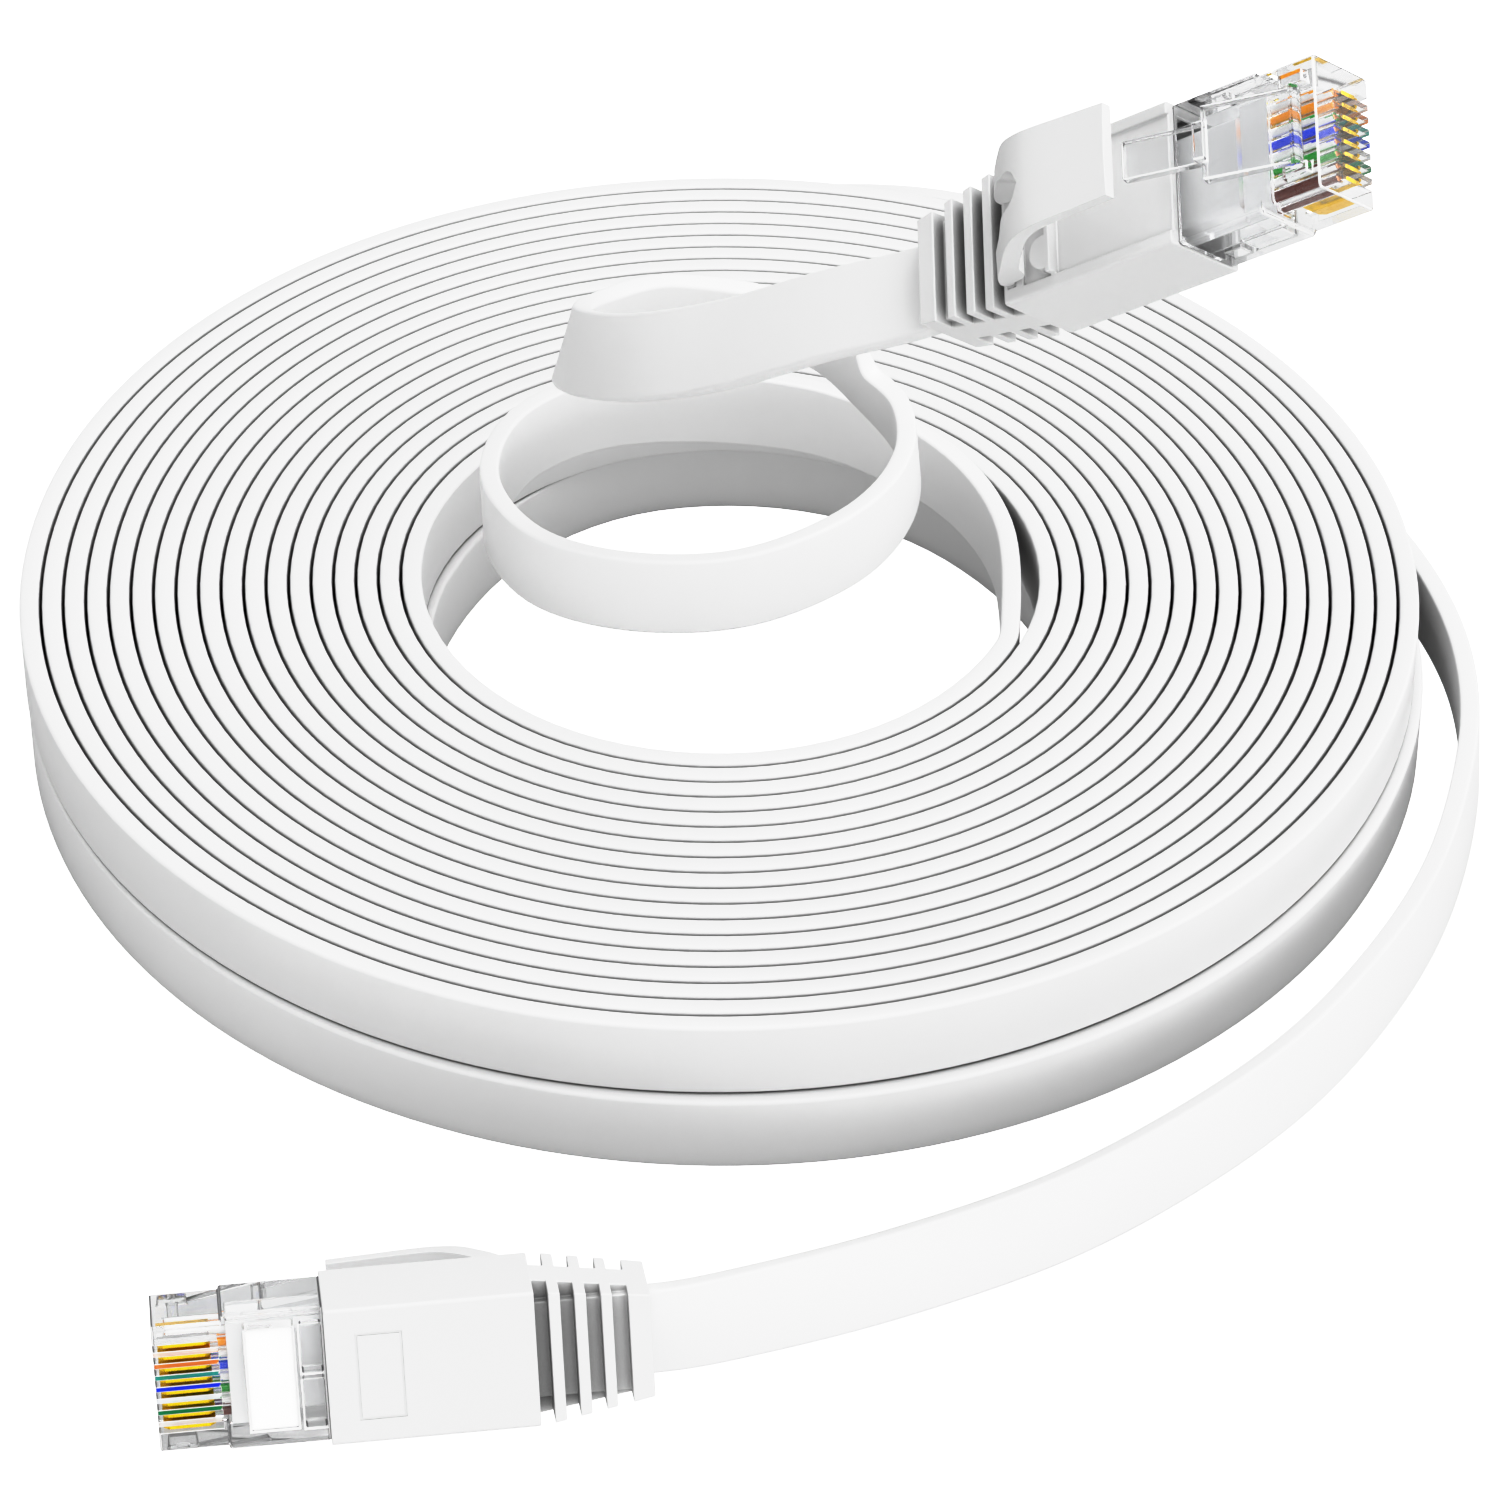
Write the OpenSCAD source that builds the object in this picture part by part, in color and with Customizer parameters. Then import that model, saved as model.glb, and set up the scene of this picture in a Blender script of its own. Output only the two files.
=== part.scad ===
// Flat network patch cable with a snagless modular plug at each end.
// The ribbon is wound on edge into a coil of two layers that stands on z = 0, and the Z axis is the
// axis of the upper layer. One end rises out of the open middle, the other runs along the floor.
// Lengths are in millimetres.

/* [Cable] */
// Width of the flat jacket
cable_w = 7.5; // [6.8:0.1:7.6]
// Thickness of the flat jacket
cable_t = 1.9; // [1.6:0.1:2.0]

/* [Coil] */
// Outer diameter of the upper layer
upper_d = 129.4; // [120:0.2:132]
// Outer diameter of the lower layer
lower_d = 130; // [120:0.2:132]
// Diameter of the open middle of the upper layer
upper_hole_d = 55.2; // [52:0.2:58]
// Diameter of the open middle of the lower layer
lower_hole_d = 54.8; // [52:0.2:58]
// Rounding of the ribbon's edges
edge_r = 0.4; // [0.2:0.1:0.7]

/* [Plug housing] */
// Width of the clear housing
housing_w = 11.68; // [11.4:0.02:11.8]
// Height of the clear housing without its latch
housing_h = 6.6; // [6.4:0.1:6.7]
// Length of the housing in front of the boot
nose_l = 13.7; // [13:0.1:14]
// Length of the whole housing, with the shank inside the boot
housing_l = 21.46; // [20.5:0.02:22]
// Distance from one contact to the next
contact_pitch = 1.016; // [1:0.002:1.03]
// Thickness of a contact blade
blade_t = 0.35; // [0.3:0.01:0.4]
// Diameter of an insulated wire
wire_d = 0.86; // [0.8:0.01:0.88]

/* [Latch] */
// Angle at which the free latch stands off the housing
latch_rise = 17; // [15:0.5:18]
// Length of the latch from its root to its tip
latch_l = 14; // [13:0.1:14.2]
// Width of the latch in front of its shoulders
latch_w = 6.2; // [6:0.1:6.4]
// Width of the latch behind its shoulders
tail_w = 3.2; // [3:0.1:3.4]

/* [Boot] */
// Width of the boot
boot_w = 11.9; // [11.7:0.1:12.2]
// Height of the boot
boot_h = 8.2; // [8.1:0.1:8.4]
// Distance from the nose of the plug to the back end of the boot
plug_l = 40; // [39.6:0.1:41]
// Width of the boot at its back end
boot_end_w = 9; // [8.8:0.1:9.6]
// Height of the boot at its back end
boot_end_h = 6.8; // [6.4:0.1:7.4]

/* [Hidden] */
$fn = 48;

jacket_c = [0.95, 0.95, 0.94];
clear_c = [0.86, 0.9, 0.92, 0.45];
boot_c = [0.91, 0.91, 0.91];
gold_c = [0.93, 0.72, 0.2];
insert_c = [0.97, 0.97, 0.97];
orange_c = [0.95, 0.5, 0.05];
green_c = [0.1, 0.5, 0.15];
blue_c = [0.1, 0.15, 0.85];
brown_c = [0.35, 0.12, 0.08];

// Centre of the lower layer
lower_at = [0.5, -0.8, 0];

// Place and turn of each plug: the middle of its nose, and its rotation
plug_a_at = [46.4, -61, 101.3];
plug_a_turn = [41, -36, -27];
plug_b_at = [-47.2, -97.2, 7.9];
plug_b_turn = [110, 0, 186];

// Route of the lead from the innermost turn up to plug A: x, y, z and lean in degrees
lead_route = [
    [26.5, -8, 11.25, 0], [26.5, 6, 11.5, 0], [21.5, 15.5, 13, -1], [11.5, 21, 15.5, -4],
    [0, 21.5, 17.5, -6], [-11, 18, 19.5, -7.5], [-18.5, 10.5, 21, -6], [-21, 0.5, 21.5, -1],
    [-17, -9, 22, 6], [-8.5, -14.5, 23, 9], [2, -15.5, 24, 7.5], [11.5, -11.5, 25.5, 5.5],
    [16.5, -4.5, 26.5, 3], [17, 3, 27.5, 7.5], [13.5, 8.5, 29, 19.5], [9, 10, 33.5, 23],
    [1.5, 6.5, 38.5, 23.5], [-6.5, 0, 43.5, 19.5], [-12, -10, 48, 16], [-12.5, -19.5, 53, 18],
    [-8, -28.5, 58.5, 25.5], [-0.5, -35.5, 64.5, 35.5], [8, -41.5, 71.5, 43]];

// Route of the tail from plug B to the outermost turn of the lower layer
tail_route = [
    [1, -90.2, 7, 23], [13.5, -83.5, 4.6, 27], [27, -76.5, 3.9, 26], [39, -68, 3.9, 22],
    [49, -58.5, 3.9, 17], [57, -47.5, 3.85, 12.5], [63, -36, 3.8, 8], [67, -23.5, 3.75, 6],
    [69, -11.5, 3.75, 3.5], [68.5, 0.5, 3.75, 2], [65, 13, 3.75, 0]];
tail_goes_on = [59.5, 25, 3.75];

// Hinge of the latch and of the guard, in the plug's own axes
latch_at = [-1.8, 0, 3.6];
guard_at = [-29.8, 0, 4.6];

// Grooves of the bend relief, front and back of each
grooves = [[-31.75, -30.6], [-33.85, -32.7], [-36, -34.8], [-38.2, -36.9]];

wire_x = [-9, -1.1];
function wire_y(i) = (3.5 - i) * contact_pitch;

// Rotation of a vector as rotate([a, b, c]) does it
function about_x(v, a) = [v.x, v.y * cos(a) - v.z * sin(a), v.y * sin(a) + v.z * cos(a)];
function about_y(v, a) = [v.x * cos(a) + v.z * sin(a), v.y, -v.x * sin(a) + v.z * cos(a)];
function about_z(v, a) = [v.x * cos(a) - v.y * sin(a), v.x * sin(a) + v.y * cos(a), v.z];
function turned(v, r) = about_z(about_y(about_x(v, r.x), r.y), r.z);
function unit(v) = v / norm(v);
function xyz(p) = [p.x, p.y, p.z];

// The ribbon's frame: upright direction across the width, and outward across the thickness
function upright(t) = unit([0, 0, 1] - t.z * t);
function lean_of(t, b2) = let (b = upright(t), n = cross(t, b)) atan2(-b2 * n, b2 * b);

// One span of a Catmull-Rom curve, with the lean as its fourth number
function spline(p, u) = 0.5 * (2 * p[1] + u * (p[2] - p[0])
    + u * u * (2 * p[0] - 5 * p[1] + 4 * p[2] - p[3])
    + u * u * u * (3 * p[1] - p[0] - 3 * p[2] + p[3]));
function slope(p, u) = 0.5 * ((p[2] - p[0]) + 2 * u * (2 * p[0] - 5 * p[1] + 4 * p[2] - p[3])
    + 3 * u * u * (3 * p[1] - p[0] - 3 * p[2] + p[3]));

// Outline of the flat jacket, eight corners
function section() = let (w = cable_w / 2, t = cable_t / 2, c = edge_r)
    [[-w, -t + c], [-w + c, -t], [w - c, -t], [w, -t + c], [w, t - c], [w - c, t], [-w + c, t], [-w, t - c]];
function ring(at, t, lean) = let (b = upright(t), n = cross(t, b),
        b2 = cos(lean) * b - sin(lean) * n, n2 = cos(lean) * n + sin(lean) * b)
    [for (s = section()) at + s[0] * b2 + s[1] * n2];
// Rings along a route whose first and last points only steer its ends
function rings(route, steps) = [for (i = [1 : len(route) - 3], k = [0 : steps - 1])
        let (p = [route[i - 1], route[i], route[i + 1], route[i + 2]], q = spline(p, k / steps), t = unit(xyz(slope(p, k / steps))))
        ring(xyz(q), t, q[3]),
    let (m = len(route) - 3, p = [route[m - 1], route[m], route[m + 1], route[m + 2]], q = spline(p, 1), t = unit(xyz(slope(p, 1))))
        ring(xyz(q), t, q[3])];
module sweep(route, steps) {
    r = rings(route, steps);
    n = len(r);
    polyhedron(
        points = [for (a = r) each a],
        faces = concat(
            [[for (j = [0 : 7]) j]],
            [for (i = [0 : n - 2], j = [0 : 7]) let (k = (j + 1) % 8) each
                [[i * 8 + j, (i + 1) * 8 + j, (i + 1) * 8 + k], [i * 8 + j, (i + 1) * 8 + k, i * 8 + k]]],
            [[for (j = [7 : -1 : 0]) (n - 1) * 8 + j]]));
}

module plug_a() translate(plug_a_at) rotate(plug_a_turn) children();
module plug_b() translate(plug_b_at) rotate(plug_b_turn) children();

// A block from x0 to x1 and z0 to z1, centred on y
module block(x0, x1, w, z0, z1) translate([x0, -w / 2, z0]) cube([x1 - x0, w, z1 - z0]);
// The same with its four long edges rounded
module bar(x0, x1, w, z0, z1, r) {
    block(x0, x1, w - 2 * r, z0, z1);
    block(x0, x1, w, z0 + r, z1 - r);
    for (y = [-w / 2 + r, w / 2 - r], z = [z0 + r, z1 - r])
        translate([x0, y, z]) rotate([0, 90, 0]) cylinder(r = r, h = x1 - x0, $fn = 24);
}
module rod(at, r, l) translate([at.x, -l / 2, at.z]) rotate([-90, 0, 0]) cylinder(r = r, h = l, $fn = 32);
// A side profile in x and z, given the width w
module profile(points, w) translate([0, w / 2, 0]) rotate([90, 0, 0]) linear_extrude(w) polygon(points);

module ring_of_turns(d, hole, z0, h) rotate_extrude($fn = 128) {
    translate([hole / 2 + edge_r, z0]) square([(d - hole) / 2 - 2 * edge_r, h]);
    translate([hole / 2, z0 + edge_r]) square([(d - hole) / 2, h - 2 * edge_r]);
    for (x = [hole / 2 + edge_r, d / 2 - edge_r], z = [z0 + edge_r, z0 + h - edge_r])
        translate([x, z]) circle(r = edge_r, $fn = 24);
}
module cable_coil_upper() color(jacket_c) ring_of_turns(upper_d, upper_hole_d, cable_w, cable_w);
module cable_coil_lower() color(jacket_c) translate(lower_at) ring_of_turns(lower_d, lower_hole_d, 0, cable_w);

// The lead's last point is the back of plug A, and it enters along the plug's axis
module cable_lead() {
    axis = turned([1, 0, 0], plug_a_turn);
    end = plug_a_at - plug_l * axis;
    last = xyz(lead_route[len(lead_route) - 1]);
    lean = lean_of(axis, turned([0, 1, 0], plug_a_turn));
    steer = last + 2 * norm(end - last) * axis;
    color(jacket_c) sweep(concat([[22.5, -20, 11.25, 0]], lead_route,
        [[end.x, end.y, end.z, lean], [steer.x, steer.y, steer.z, lean]]), 2);
}
// The tail leaves the back of plug B along the plug's axis
module cable_tail() {
    axis = -turned([1, 0, 0], plug_b_turn);
    start = plug_b_at + plug_l * axis;
    first = xyz(tail_route[0]);
    lean = lean_of(axis, turned([0, 1, 0], plug_b_turn));
    steer = first - 2 * norm(first - start) * axis;
    color(jacket_c) sweep(concat([[steer.x, steer.y, steer.z, lean], [start.x, start.y, start.z, lean]],
        tail_route, [[tail_goes_on.x, tail_goes_on.y, tail_goes_on.z, 0]]), 2);
}

// Each piece of a plug has its nose at x = 0 and its latch on +z
module housing() {
    h = housing_h / 2;
    color(clear_c) difference() {
        union() {
            bar(-5.6, 0, housing_w - 0.7, -h, h, 0.3);
            bar(-nose_l, -5.6, housing_w, -h, h, 0.3);
            block(-housing_l, -nose_l, 9.9, -2.5, 2.5);
            // cheeks of the latch's root
            for (s = [-1, 1]) translate([-3, s * 3.75 - 0.5, h - 0.2]) cube([2.4, 1, 0.9]);
        }
        // room for the jacket, the load bar and the wires
        block(-housing_l - 1, -5.9, 9.4, -1.15, 1);
        for (i = [0 : 7]) {
            translate([-6, wire_y(i), 0]) rotate([0, 90, 0]) cylinder(d = 0.9, h = 5.1, $fn = 24);
            // the blade drops into its slot and is gripped at the slot's bottom
            translate([-5.2, wire_y(i) - 0.275, -h - 1]) cube([6, 0.55, h - 1.6 + 1]);
            translate([-4.6, wire_y(i) - blade_t / 2, -2]) cube([4.2, blade_t, 2]);
        }
        // window of the strain bar, and the two pockets behind it
        block(-11.2, -7.4, 8.8, -h - 1, -1);
        for (s = [-1, 1]) translate([-13.5, s * 2.4 - 2.1, -h - 1]) cube([1.75, 4.2, 1 + h - 1.9]);
        rod(latch_at, 0.55, latch_w + 0.6);
    }
}

module latch() color(clear_c) {
    rod(latch_at, 0.5, latch_w + 0.4);
    translate(latch_at) rotate([0, latch_rise, 0]) {
        profile([[0, -0.35], [0, 0.35], [-7.4, 0.6], [-7.4, -0.55]], latch_w);
        // the tongue, with a ridge at the shoulders
        profile([[-7, -0.45], [-7, 1.15], [-7.9, 1.15], [-7.9, 0.5], [-latch_l, 0.4], [-latch_l, -0.5]], tail_w);
    }
}

module contacts() color(gold_c) for (i = [0 : 7])
    translate([0, wire_y(i), 0]) profile([[-0.4, -2.5], [-0.8, -2.9], [-4.2, -2.9], [-4.6, -2.5], [-4.6, -0.43], [-0.4, -0.43]], blade_t);

module wire(i, c) color(c) translate([wire_x[0], wire_y(i), 0]) rotate([0, 90, 0]) cylinder(d = wire_d, h = wire_x[1] - wire_x[0], $fn = 24);

module load_bar() color(insert_c) difference() {
    block(-8.6, -5.9, 8.8, -1.1, 0.95);
    for (i = [0 : 7]) translate([-9, wire_y(i), 0]) rotate([0, 90, 0]) cylinder(d = 0.9, h = 4, $fn = 24);
}

module strain_bar() color(insert_c) {
    block(-11.2, -8.7, 8.8, -3.1, -1.15);
    block(-8.7, -7.4, 8.8, -3.1, -1.15);
    block(-10.6, -9.4, 7.4, -1.3, -cable_t / 2);
}

module cable_end() color(jacket_c) bar(-plug_l, -9, cable_w, -cable_t / 2, cable_t / 2, edge_r);

module boot() {
    w = boot_w / 2;
    h = boot_h / 2;
    color(boot_c) difference() {
        union() {
            intersection() {
                profile([[-nose_l, -h], [-nose_l, h], [-30.6, h], [-plug_l, boot_end_h / 2], [-plug_l, -boot_end_h / 2], [-30.6, -h]], 20);
                translate([0, 0, -10]) linear_extrude(20)
                    polygon([[-nose_l, -w], [-30.6, -w], [-plug_l, -boot_end_w / 2], [-plug_l, boot_end_w / 2], [-30.6, w], [-nose_l, w]]);
            }
            // stiffening rib and knobs under the guard
            block(-25.75, -25.25, 9.7, 3.5, 4.9);
            for (s = [-1, 1]) translate([-25.9, s * 3.1, 3.5]) intersection() {
                cylinder(r = 1.4, h = 1.4, $fn = 32);
                translate([-3, -3, 0]) cube([3.15, 6, 2]);
            }
        }
        // grooves of the bend relief, cut from both faces down to a core and a spine
        for (g = grooves) difference() {
            block(g[0], g[1], 20, -10, 10);
            block(g[0] - 1, g[1] + 1, 8.4, -2.2, 2.2);
            block(g[0] - 1, g[1] + 1, 21, -1.5, 1.5);
        }
        // shallow bed of the latch, with a rail on each side
        difference() {
            block(-28.6, -nose_l + 1, 9.7, 3.8, 5);
            block(-25.75, -25.25, 9.7, 3, 6);
            for (s = [-1, 1]) translate([-25.9, s * 3.1, 3]) intersection() {
                cylinder(r = 1.4, h = 3, $fn = 32);
                translate([-3, -3, 0]) cube([3.15, 6, 4]);
            }
        }
        // pocket of the housing's shank, and the way of the jacket
        block(-housing_l, -nose_l + 1, 9.9, -2.5, 2.5);
        bar(-plug_l - 1, -20, cable_w, -cable_t / 2, cable_t / 2, edge_r);
        rod(guard_at, 0.7, 9.4);
        // thin engraved frame on the contact side
        translate([0, 0, -h - 1]) linear_extrude(1.15) difference() {
            translate([-19.9, -3.9]) square([3.8, 7.6]);
            translate([-19.7, -3.7]) square([3.4, 7.2]);
        }
    }
}

// The guard: a tongue on two sloping legs that keeps the latch from snagging
guard_side = [[-30.3, 4.45], [-30.2, 5.2], [-29.6, 6.1], [-28.4, 7.3], [-27.2, 8.45], [-26, 9.6], [-24.7, 10.5], [-23, 11], [-21, 11.1],
    [-14.5, 10.9], [-14.5, 9.85], [-21, 10], [-22.8, 9.85], [-24.1, 9.3], [-25.2, 8.4], [-26.4, 7.3], [-27.6, 6.2], [-28.6, 5.2], [-29.3, 4.45]];
guard_plan = [[-14.5, 3.65], [-17, 3.8], [-19.5, 4], [-22, 4.3], [-24, 4.5], [-26, 4.6], [-28, 4.6], [-31, 4.5]];
module latch_guard() color(boot_c) {
    difference() {
        intersection() {
            profile(guard_side, 12);
            translate([0, 0, 3]) linear_extrude(9) polygon(concat(guard_plan, [for (i = [len(guard_plan) - 1 : -1 : 0]) [guard_plan[i].x, -guard_plan[i].y]]));
        }
        // notch between the legs
        translate([-24.4, 0, 3]) {
            cylinder(r = 1.7, h = 9);
            linear_extrude(9) polygon([[0, 1.7], [-2.1, 2.6], [-8, 2.6], [-8, -2.6], [-2.1, -2.6], [0, -1.7]]);
        }
    }
    for (s = [-1, 1]) translate([guard_at.x, s * 3.55 - 0.95, guard_at.z]) rotate([-90, 0, 0]) cylinder(r = 0.6, h = 1.9, $fn = 32);
}

cable_coil_upper();
cable_coil_lower();
cable_lead();
cable_tail();
plug_a() housing();  // housing_a
plug_a() latch();  // latch_a
plug_a() contacts();  // contacts_a
plug_a() load_bar();  // load_bar_a
plug_a() strain_bar();  // strain_bar_a
plug_a() cable_end();  // cable_end_a
plug_a() boot();  // boot_a
plug_a() latch_guard();  // latch_guard_a
plug_a() wire(0, orange_c);  // wire_white_orange_a
plug_a() wire(1, orange_c);  // wire_orange_a
plug_a() wire(2, green_c);  // wire_white_green_a
plug_a() wire(3, blue_c);  // wire_blue_a
plug_a() wire(4, blue_c);  // wire_white_blue_a
plug_a() wire(5, green_c);  // wire_green_a
plug_a() wire(6, brown_c);  // wire_white_brown_a
plug_a() wire(7, brown_c);  // wire_brown_a
plug_b() housing();  // housing_b
plug_b() latch();  // latch_b
plug_b() contacts();  // contacts_b
plug_b() load_bar();  // load_bar_b
plug_b() strain_bar();  // strain_bar_b
plug_b() cable_end();  // cable_end_b
plug_b() boot();  // boot_b
plug_b() latch_guard();  // latch_guard_b
plug_b() wire(0, orange_c);  // wire_white_orange_b
plug_b() wire(1, orange_c);  // wire_orange_b
plug_b() wire(2, green_c);  // wire_white_green_b
plug_b() wire(3, blue_c);  // wire_blue_b
plug_b() wire(4, blue_c);  // wire_white_blue_b
plug_b() wire(5, green_c);  // wire_green_b
plug_b() wire(6, brown_c);  // wire_white_brown_b
plug_b() wire(7, brown_c);  // wire_brown_b
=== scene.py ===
import bpy, bmesh, math
import numpy as np
from mathutils import Matrix, Vector, Euler
from mathutils.bvhtree import BVHTree


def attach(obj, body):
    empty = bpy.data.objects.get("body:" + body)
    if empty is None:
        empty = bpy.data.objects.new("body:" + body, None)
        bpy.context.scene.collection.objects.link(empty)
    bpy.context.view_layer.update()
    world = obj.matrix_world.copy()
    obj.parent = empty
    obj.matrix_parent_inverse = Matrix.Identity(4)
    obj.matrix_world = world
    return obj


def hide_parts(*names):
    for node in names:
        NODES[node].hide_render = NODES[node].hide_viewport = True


MM = 0.001
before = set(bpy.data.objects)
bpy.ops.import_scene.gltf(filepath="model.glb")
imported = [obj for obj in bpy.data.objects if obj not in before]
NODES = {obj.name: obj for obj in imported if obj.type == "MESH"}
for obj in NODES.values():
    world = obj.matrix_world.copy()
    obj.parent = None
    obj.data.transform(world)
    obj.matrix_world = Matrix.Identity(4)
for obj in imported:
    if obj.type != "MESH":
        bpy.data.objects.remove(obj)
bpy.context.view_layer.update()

# ---------------------------------------------------------------- cable facts (mm)
W, T = 7.5, 1.9                    # flat jacket
PLUG_L = 40.0
LATCH_RISE = math.radians(17)     # of the latch arm at rest
PLUG = {"a": ((46.4, -61.0, 101.3), (41, -36, -27)), "b": ((-47.2, -97.2, 7.9), (110, 0, 186))}


def turn(deg):
    return np.array(Euler([math.radians(d) for d in deg], "XYZ").to_matrix())


AT = {k: np.array(v[0], float) for k, v in PLUG.items()}
ROT = {k: turn(v[1]) for k, v in PLUG.items()}


def plug_matrix(side):
    """From the plug's own axes in mm to the row frame in metres."""
    m = Matrix(ROT[side].tolist()).to_4x4() @ Matrix.Scale(MM, 4)
    m.translation = Vector(AT[side] * MM)
    return m


# ---------------------------------------------------------------- camera
def camera():
    right = Vector((0.99977483, -0.02115821, -0.00161579))
    up = Vector((0.01457864, 0.62955119, 0.77682222))
    fwd = Vector((0.01541894, 0.77667087, -0.62971789))
    data = bpy.data.cameras.new("camera")
    data.sensor_width = 36
    data.sensor_fit = "HORIZONTAL"
    data.lens = 5888 / 1500 * 36
    data.clip_start, data.clip_end = 0.01, 20
    ob = bpy.data.objects.new("camera", data)
    bpy.context.scene.collection.objects.link(ob)
    m = Matrix((right, up, -fwd)).transposed().to_4x4()
    m.translation = Vector((-5.9, -434.4, 344.9)) * MM
    ob.matrix_world = m
    bpy.context.scene.camera = ob


camera()

# ---------------------------------------------------------------- helpers
def link(ob):
    bpy.context.scene.collection.objects.link(ob)
    return ob


def smooth_mesh(me, on=True):
    me.polygons.foreach_set("use_smooth", [on] * len(me.polygons))
    me.update()


def make(name, verts, faces, mat=None, smooth=True, matrix=None, scale=MM):
    me = bpy.data.meshes.new(name)
    me.from_pydata([tuple(float(c) * scale for c in v) for v in verts], [], faces)
    if matrix is not None:
        me.transform(matrix)
    me.validate()
    smooth_mesh(me, smooth)
    ob = link(bpy.data.objects.new(name, me))
    if mat:
        me.materials.append(mat)
    return ob


def smoothstep(x, a, b):
    t = min(1.0, max(0.0, (x - a) / (b - a)))
    return t * t * (3 - 2 * t)


# ---------------------------------------------------------------- the cable's route
LEAD = [(26.5, -8, 11.25, 0), (26.5, 6, 11.5, 0), (21.5, 15.5, 13, -1), (11.5, 21, 15.5, -4),
        (0, 21.5, 17.5, -6), (-11, 18, 19.5, -7.5), (-18.5, 10.5, 21, -6), (-21, 0.5, 21.5, -1),
        (-17, -9, 22, 6), (-8.5, -14.5, 23, 9), (2, -15.5, 24, 7.5), (11.5, -11.5, 25.5, 5.5),
        (16.5, -4.5, 26.5, 3), (17, 3, 27.5, 7.5), (13.5, 8.5, 29, 19.5), (9, 10, 33.5, 23),
        (1.5, 6.5, 38.5, 23.5), (-6.5, 0, 43.5, 19.5), (-12, -10, 48, 16), (-12.5, -19.5, 53, 18),
        (-8, -28.5, 58.5, 25.5), (-0.5, -35.5, 64.5, 35.5), (8, -41.5, 71.5, 43)]
TAIL = [(1, -90.2, 7, 23), (13.5, -83.5, 4.6, 27), (27, -76.5, 3.9, 26), (39, -68, 3.9, 22),
        (49, -58.5, 3.9, 17), (57, -47.5, 3.85, 12.5), (63, -36, 3.8, 8), (67, -23.5, 3.75, 6),
        (69, -11.5, 3.75, 3.5), (68.5, 0.5, 3.75, 2), (65, 13, 3.75, 0)]


def frame_of(t):
    b = np.array([0, 0, 1.0]) - t[2] * t
    b /= np.linalg.norm(b)
    return b, np.cross(t, b)


def lean_of(t, b2):
    b, n = frame_of(t)
    return math.degrees(math.atan2(-b2 @ n, b2 @ b))


def crom(P, steps):
    """Catmull-Rom through P[1:-1]; the first and last points only steer."""
    P = np.array(P, float)
    out = []
    for i in range(1, len(P) - 2):
        a, b, c, d = P[i - 1], P[i], P[i + 1], P[i + 2]
        for k in range(steps):
            u = k / steps
            out.append(0.5 * (2 * b + u * (c - a) + u * u * (2 * a - 5 * b + 4 * c - d) + u ** 3 * (3 * b - a - 3 * c + d)))
    out.append(P[-2])
    return np.array(out)


# ring positions of the two layers
UP_C, UP_R0, UP_P = np.array([0.0, 0.0]), 63.75, 2.0706
LO_C, LO_R0, LO_P = np.array([0.5, -0.8]), 64.05, 2.1


def polar(c, r, deg, z):
    a = math.radians(deg)
    return [c[0] + r * math.cos(a), c[1] + r * math.sin(a), z, 0.0]


def steps_in(deg, centre, width, first, last):
    """How many one-pitch steps, each spread over width degrees about centre + 360 k, are behind deg."""
    return sum(smoothstep(deg, centre + 360 * k - width / 2, centre + 360 * k + width / 2) for k in range(first, last + 1))


def s1_index(deg):
    # strand that comes from the tail: a step where the other strand leaves, and a step where the tail comes in
    return steps_in(deg, 130, 60, 0, 8) + steps_in(deg, 12, 60, 1, 8)


def hairpin(c, ring, sign, q_in, q_out, R, turn_at, z, far):
    """A turn back through half a circle. The strand runs along radius q_in about c, swings away from q_out, and comes back along q_out.
    turn_at is the turn's angle in degrees, sign its sense (+1 counter-clockwise before the turn), far how far ahead the swing begins."""
    up = 1 if q_out > q_in else -1
    qc = q_out - up * R
    al = math.radians(34)
    p0, p3 = np.array([-far, q_in]), np.array([-R * math.sin(al), qc - up * R * math.cos(al)])
    d3 = np.array([math.cos(al), -up * math.sin(al)])
    reach = np.linalg.norm(p3 - p0) * 0.42
    p1, p2 = p0 + np.array([reach, 0]), p3 - d3 * reach
    loc = []
    for k in range(10):
        u = k / 10
        loc.append((1 - u) ** 3 * p0 + 3 * (1 - u) ** 2 * u * p1 + 3 * (1 - u) * u * u * p2 + u ** 3 * p3)
    n = 22
    for k in range(n + 1):
        be = -math.pi / 2 - al + (math.pi + al) * k / n
        loc.append(np.array([R * math.cos(be), qc + up * R * math.sin(be)]))
    return [polar(c, q, turn_at + sign * t / qc * 57.296, z) for t, q in loc]


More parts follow.
